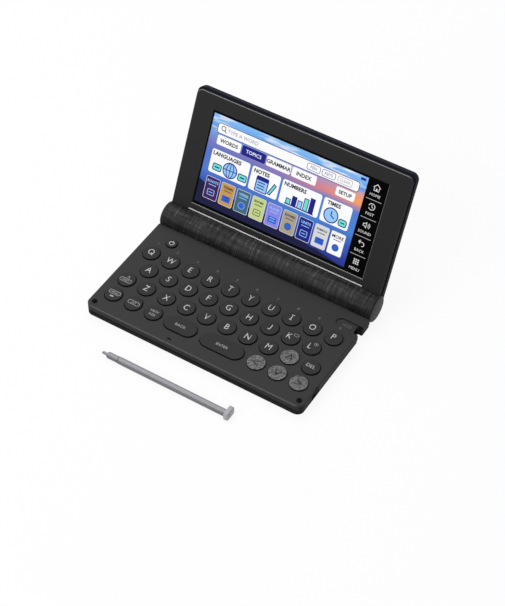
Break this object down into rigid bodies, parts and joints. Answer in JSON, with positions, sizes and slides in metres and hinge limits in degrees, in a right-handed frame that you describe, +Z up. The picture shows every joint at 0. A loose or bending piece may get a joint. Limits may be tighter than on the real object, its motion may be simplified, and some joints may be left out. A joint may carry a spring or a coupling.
{
  "type": "electronic dictionary",
  "caption": "Clamshell electronic dictionary, open: round keys, touch screen in a hinged lid, battery barrel as the hinge, and its stylus beside it.",
  "frame": {"origin": "on the table plane, at the middle of the opened dictionary with its stylus laid out in front", "axes": "+X to the user's right along the hinge, +Y away from the user, +Z up"},
  "size_m": [0.149, 0.1543, 0.0869],
  "materials": {
    "case_plastic": "fine moulded grain",
    "deck_plastic": "satin, fine grain",
    "key_plastic": "satin",
    "arrow_key_plastic": "brushed grain under a clear coat",
    "barrel_plastic": "fine streaked print under a clear coat",
    "bezel_plastic": "satin",
    "lid_plastic": "polished",
    "glass": "clear",
    "display": "lit display",
    "trim": "bright",
    "rubber": "matt",
    "silicone": "matt",
    "steel": "plain",
    "board": "solder resist",
    "speaker_plastic": "matt",
    "cell_jacket": "printed jacket, plain",
    "stylus_plastic": "satin"
  },
  "bodies": {
    "base": {"bottom_case": "case_plastic", "top_cover": "deck_plastic", "corner_bumpers": "rubber", "rubber_feet": "rubber", "case_screws": "steel", "keypad_membrane": "silicone", "main_board": "board", "speaker": "speaker_plastic", "stylus_sleeve": "case_plastic", "usb_socket": "steel", "barrel_shell": "barrel_plastic", "battery_cells": "cell_jacket", "battery_contacts": "steel", "hinge_pins": "steel"},
    "lid": {"hinge_knuckles": "barrel_plastic", "lid_bezel": "bezel_plastic", "lid_back_cover": "lid_plastic", "touch_glass": "glass", "display_panel": "display", "trim_strip": "trim"},
    "battery_cover": {"battery_cover": "barrel_plastic"},
    "stylus": {"stylus": "stylus_plastic"},
    "key_q": {"key_q": "key_plastic"},
    "key_w": {"key_w": "key_plastic"},
    "key_e": {"key_e": "key_plastic"},
    "key_r": {"key_r": "key_plastic"},
    "key_t": {"key_t": "key_plastic"},
    "key_y": {"key_y": "key_plastic"},
    "key_u": {"key_u": "key_plastic"},
    "key_i": {"key_i": "key_plastic"},
    "key_o": {"key_o": "key_plastic"},
    "key_p": {"key_p": "key_plastic"},
    "key_a": {"key_a": "key_plastic"},
    "key_s": {"key_s": "key_plastic"},
    "key_d": {"key_d": "key_plastic"},
    "key_f": {"key_f": "key_plastic"},
    "key_g": {"key_g": "key_plastic"},
    "key_h": {"key_h": "key_plastic"},
    "key_j": {"key_j": "key_plastic"},
    "key_k": {"key_k": "key_plastic"},
    "key_l": {"key_l": "key_plastic"},
    "key_z": {"key_z": "key_plastic"},
    "key_x": {"key_x": "key_plastic"},
    "key_c": {"key_c": "key_plastic"},
    "key_v": {"key_v": "key_plastic"},
    "key_b": {"key_b": "key_plastic"},
    "key_n": {"key_n": "key_plastic"},
    "key_m": {"key_m": "key_plastic"},
    "key_fn": {"key_fn": "key_plastic"},
    "key_up": {"key_up": "arrow_key_plastic"},
    "key_delete": {"key_delete": "key_plastic"},
    "key_f1": {"key_f1": "key_plastic"},
    "key_f2": {"key_f2": "key_plastic"},
    "key_f3": {"key_f3": "key_plastic"},
    "key_left": {"key_left": "arrow_key_plastic"},
    "key_down": {"key_down": "arrow_key_plastic"},
    "key_right": {"key_right": "arrow_key_plastic"},
    "key_enter": {"key_enter": "key_plastic"},
    "key_back": {"key_back": "key_plastic"},
    "key_power": {"key_power": "key_plastic"}
  },
  "joints": [
    {"name": "lid_hinge", "type": "hinge", "parent": "base", "child": "lid", "pos_m": [0, 0.0352, 0.00915], "axis": [1, 0, 0], "range_deg": [-36, 114.3]},
    {"name": "battery_cover_lift", "type": "slide", "parent": "base", "child": "battery_cover", "axis": [0, 0.4226, -0.9063], "range_m": [0, 0.006]},
    {"name": "stylus_lift", "type": "slide", "parent": "base", "child": "stylus", "axis": [0, 0, 1], "range_m": [0, 0.06]},
    {"name": "key_q_press", "type": "slide", "parent": "base", "child": "key_q", "axis": [0, 0, -1], "range_m": [0, 0.0006], "stiffness_N_per_m": 300, "springref_m": -0.0002},
    {"name": "key_w_press", "type": "slide", "parent": "base", "child": "key_w", "axis": [0, 0, -1], "range_m": [0, 0.0006], "stiffness_N_per_m": 300, "springref_m": -0.0002},
    {"name": "key_e_press", "type": "slide", "parent": "base", "child": "key_e", "axis": [0, 0, -1], "range_m": [0, 0.0006], "stiffness_N_per_m": 300, "springref_m": -0.0002},
    {"name": "key_r_press", "type": "slide", "parent": "base", "child": "key_r", "axis": [0, 0, -1], "range_m": [0, 0.0006], "stiffness_N_per_m": 300, "springref_m": -0.0002},
    {"name": "key_t_press", "type": "slide", "parent": "base", "child": "key_t", "axis": [0, 0, -1], "range_m": [0, 0.0006], "stiffness_N_per_m": 300, "springref_m": -0.0002},
    {"name": "key_y_press", "type": "slide", "parent": "base", "child": "key_y", "axis": [0, 0, -1], "range_m": [0, 0.0006], "stiffness_N_per_m": 300, "springref_m": -0.0002},
    {"name": "key_u_press", "type": "slide", "parent": "base", "child": "key_u", "axis": [0, 0, -1], "range_m": [0, 0.0006], "stiffness_N_per_m": 300, "springref_m": -0.0002},
    {"name": "key_i_press", "type": "slide", "parent": "base", "child": "key_i", "axis": [0, 0, -1], "range_m": [0, 0.0006], "stiffness_N_per_m": 300, "springref_m": -0.0002},
    {"name": "key_o_press", "type": "slide", "parent": "base", "child": "key_o", "axis": [0, 0, -1], "range_m": [0, 0.0006], "stiffness_N_per_m": 300, "springref_m": -0.0002},
    {"name": "key_p_press", "type": "slide", "parent": "base", "child": "key_p", "axis": [0, 0, -1], "range_m": [0, 0.0006], "stiffness_N_per_m": 300, "springref_m": -0.0002},
    {"name": "key_a_press", "type": "slide", "parent": "base", "child": "key_a", "axis": [0, 0, -1], "range_m": [0, 0.0006], "stiffness_N_per_m": 300, "springref_m": -0.0002},
    {"name": "key_s_press", "type": "slide", "parent": "base", "child": "key_s", "axis": [0, 0, -1], "range_m": [0, 0.0006], "stiffness_N_per_m": 300, "springref_m": -0.0002},
    {"name": "key_d_press", "type": "slide", "parent": "base", "child": "key_d", "axis": [0, 0, -1], "range_m": [0, 0.0006], "stiffness_N_per_m": 300, "springref_m": -0.0002},
    {"name": "key_f_press", "type": "slide", "parent": "base", "child": "key_f", "axis": [0, 0, -1], "range_m": [0, 0.0006], "stiffness_N_per_m": 300, "springref_m": -0.0002},
    {"name": "key_g_press", "type": "slide", "parent": "base", "child": "key_g", "axis": [0, 0, -1], "range_m": [0, 0.0006], "stiffness_N_per_m": 300, "springref_m": -0.0002},
    {"name": "key_h_press", "type": "slide", "parent": "base", "child": "key_h", "axis": [0, 0, -1], "range_m": [0, 0.0006], "stiffness_N_per_m": 300, "springref_m": -0.0002},
    {"name": "key_j_press", "type": "slide", "parent": "base", "child": "key_j", "axis": [0, 0, -1], "range_m": [0, 0.0006], "stiffness_N_per_m": 300, "springref_m": -0.0002},
    {"name": "key_k_press", "type": "slide", "parent": "base", "child": "key_k", "axis": [0, 0, -1], "range_m": [0, 0.0006], "stiffness_N_per_m": 300, "springref_m": -0.0002},
    {"name": "key_l_press", "type": "slide", "parent": "base", "child": "key_l", "axis": [0, 0, -1], "range_m": [0, 0.0006], "stiffness_N_per_m": 300, "springref_m": -0.0002},
    {"name": "key_z_press", "type": "slide", "parent": "base", "child": "key_z", "axis": [0, 0, -1], "range_m": [0, 0.0006], "stiffness_N_per_m": 300, "springref_m": -0.0002},
    {"name": "key_x_press", "type": "slide", "parent": "base", "child": "key_x", "axis": [0, 0, -1], "range_m": [0, 0.0006], "stiffness_N_per_m": 300, "springref_m": -0.0002},
    {"name": "key_c_press", "type": "slide", "parent": "base", "child": "key_c", "axis": [0, 0, -1], "range_m": [0, 0.0006], "stiffness_N_per_m": 300, "springref_m": -0.0002},
    {"name": "key_v_press", "type": "slide", "parent": "base", "child": "key_v", "axis": [0, 0, -1], "range_m": [0, 0.0006], "stiffness_N_per_m": 300, "springref_m": -0.0002},
    {"name": "key_b_press", "type": "slide", "parent": "base", "child": "key_b", "axis": [0, 0, -1], "range_m": [0, 0.0006], "stiffness_N_per_m": 300, "springref_m": -0.0002},
    {"name": "key_n_press", "type": "slide", "parent": "base", "child": "key_n", "axis": [0, 0, -1], "range_m": [0, 0.0006], "stiffness_N_per_m": 300, "springref_m": -0.0002},
    {"name": "key_m_press", "type": "slide", "parent": "base", "child": "key_m", "axis": [0, 0, -1], "range_m": [0, 0.0006], "stiffness_N_per_m": 300, "springref_m": -0.0002},
    {"name": "key_fn_press", "type": "slide", "parent": "base", "child": "key_fn", "axis": [0, 0, -1], "range_m": [0, 0.0006], "stiffness_N_per_m": 300, "springref_m": -0.0002},
    {"name": "key_up_press", "type": "slide", "parent": "base", "child": "key_up", "axis": [0, 0, -1], "range_m": [0, 0.0006], "stiffness_N_per_m": 300, "springref_m": -0.0002},
    {"name": "key_delete_press", "type": "slide", "parent": "base", "child": "key_delete", "axis": [0, 0, -1], "range_m": [0, 0.0006], "stiffness_N_per_m": 300, "springref_m": -0.0002},
    {"name": "key_f1_press", "type": "slide", "parent": "base", "child": "key_f1", "axis": [0, 0, -1], "range_m": [0, 0.0006], "stiffness_N_per_m": 300, "springref_m": -0.0002},
    {"name": "key_f2_press", "type": "slide", "parent": "base", "child": "key_f2", "axis": [0, 0, -1], "range_m": [0, 0.0006], "stiffness_N_per_m": 300, "springref_m": -0.0002},
    {"name": "key_f3_press", "type": "slide", "parent": "base", "child": "key_f3", "axis": [0, 0, -1], "range_m": [0, 0.0006], "stiffness_N_per_m": 300, "springref_m": -0.0002},
    {"name": "key_left_press", "type": "slide", "parent": "base", "child": "key_left", "axis": [0, 0, -1], "range_m": [0, 0.0006], "stiffness_N_per_m": 300, "springref_m": -0.0002},
    {"name": "key_down_press", "type": "slide", "parent": "base", "child": "key_down", "axis": [0, 0, -1], "range_m": [0, 0.0006], "stiffness_N_per_m": 300, "springref_m": -0.0002},
    {"name": "key_right_press", "type": "slide", "parent": "base", "child": "key_right", "axis": [0, 0, -1], "range_m": [0, 0.0006], "stiffness_N_per_m": 300, "springref_m": -0.0002},
    {"name": "key_enter_press", "type": "slide", "parent": "base", "child": "key_enter", "axis": [0, 0, -1], "range_m": [0, 0.0006], "stiffness_N_per_m": 300, "springref_m": -0.0002},
    {"name": "key_back_press", "type": "slide", "parent": "base", "child": "key_back", "axis": [0, 0, -1], "range_m": [0, 0.0006], "stiffness_N_per_m": 300, "springref_m": -0.0002},
    {"name": "key_power_press", "type": "slide", "parent": "base", "child": "key_power", "axis": [0, 0, -1], "range_m": [0, 0.0006], "stiffness_N_per_m": 300, "springref_m": -0.0002}
  ]
}
